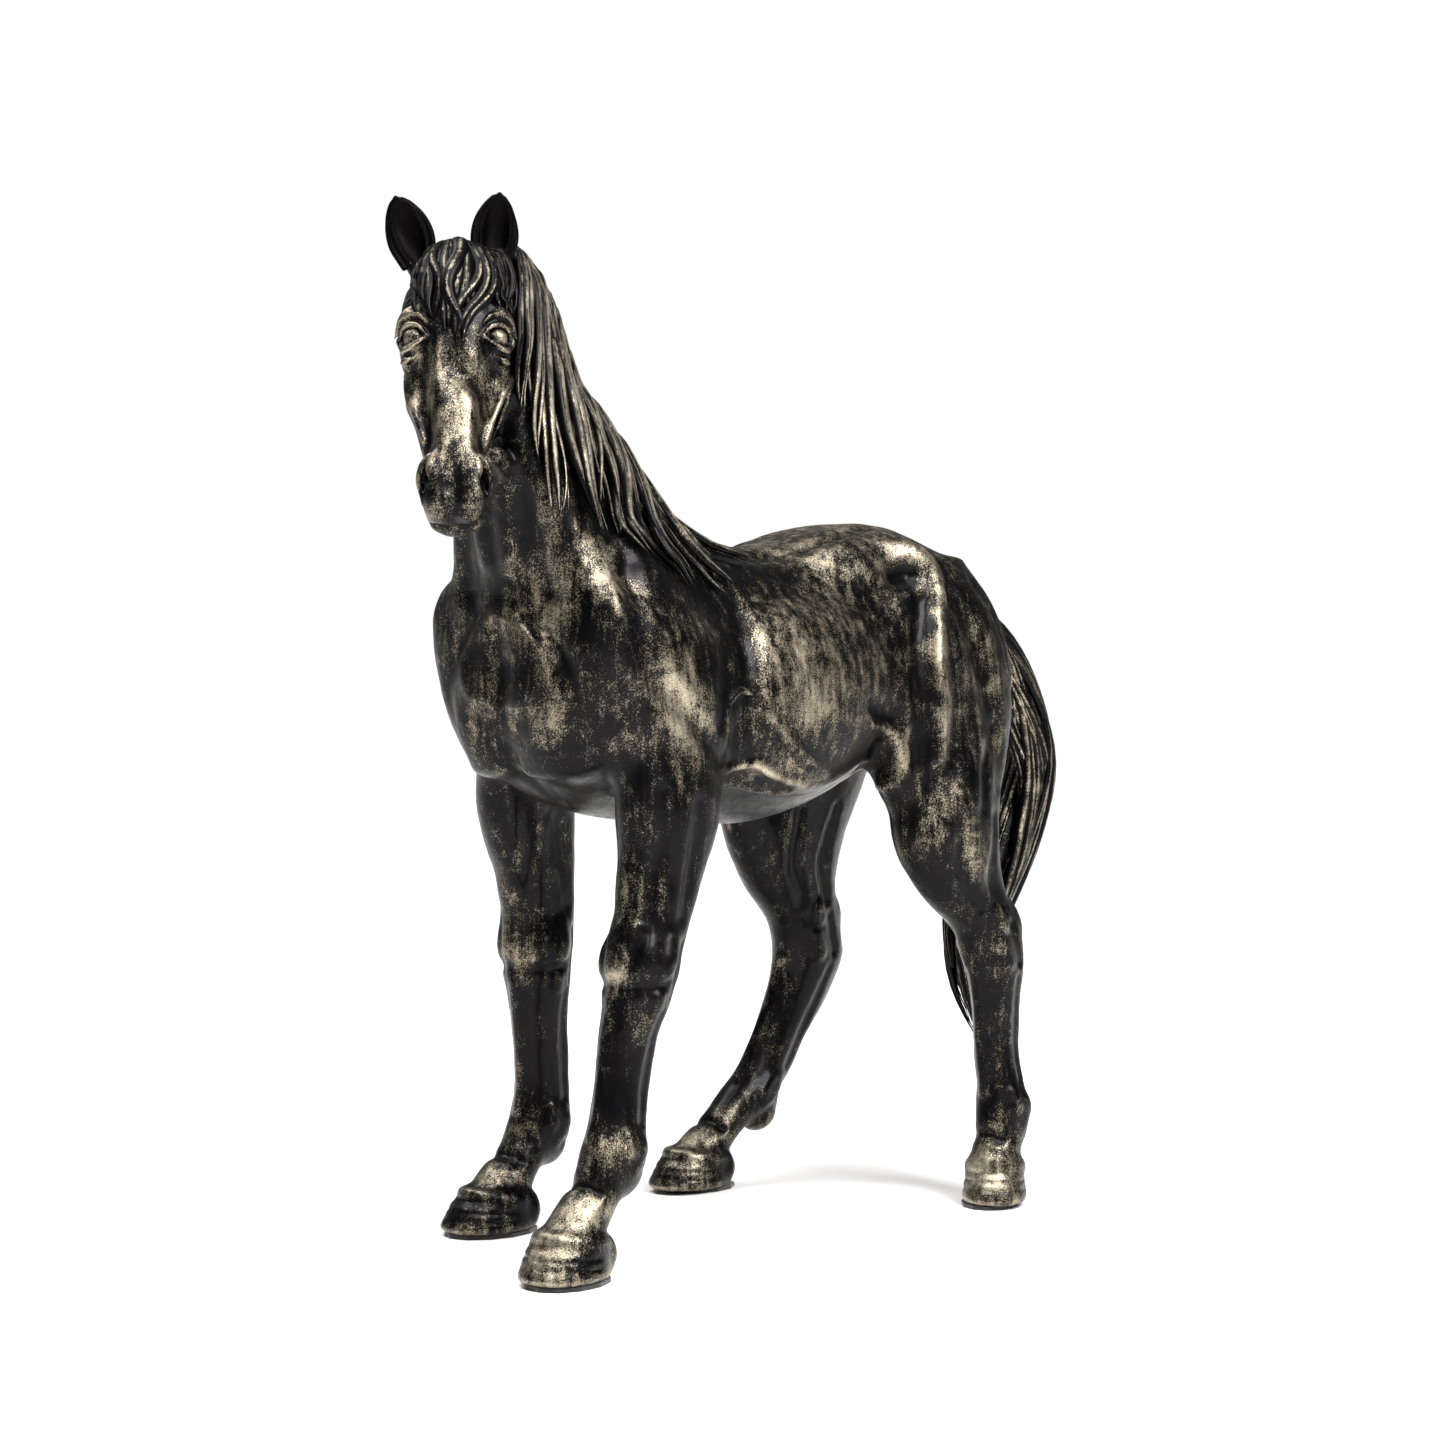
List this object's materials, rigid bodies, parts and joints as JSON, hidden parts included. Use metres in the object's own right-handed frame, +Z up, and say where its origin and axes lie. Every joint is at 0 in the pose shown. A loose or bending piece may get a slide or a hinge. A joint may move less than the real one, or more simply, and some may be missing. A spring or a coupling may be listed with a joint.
{
  "type": "horse statuette",
  "caption": "Standing horse figure cast in hollow bronze sections, with its head turned to its left, a long mane and a dark antique finish.",
  "frame": {"origin": "on the surface the horse stands on, under the middle of its bounding box", "axes": "+Z up, the horse faces -Y, its left side is +X"},
  "size_m": [0.1082, 0.2892, 0.3023],
  "materials": {
    "antique_bronze": "cast bronze with a black-brown patina and gold rubbed onto the high places",
    "joint_bronze": "turned bronze, left bright",
    "felt": "pressed wool felt, dark grey"
  },
  "bodies": {
    "root": {"barrel": "antique_bronze", "neck": "antique_bronze", "head": "antique_bronze", "ear_left": "antique_bronze", "ear_right": "antique_bronze", "mane": "antique_bronze", "forelock": "antique_bronze", "foreleg_left": "antique_bronze", "foreleg_right": "antique_bronze", "hindleg_left": "antique_bronze", "hindleg_right": "antique_bronze", "tail": "antique_bronze", "neck_sleeve": "joint_bronze", "head_sleeve": "joint_bronze", "foreleg_left_dowel": "joint_bronze", "foreleg_right_dowel": "joint_bronze", "hindleg_left_dowel": "joint_bronze", "hindleg_right_dowel": "joint_bronze", "core_plug_belly": "joint_bronze", "core_plug_groin": "joint_bronze", "core_plug_back": "joint_bronze", "core_plug_croup": "joint_bronze", "foreleg_left_pad": "felt", "foreleg_right_pad": "felt", "hindleg_left_pad": "felt", "hindleg_right_pad": "felt"}
  },
  "joints": []
}
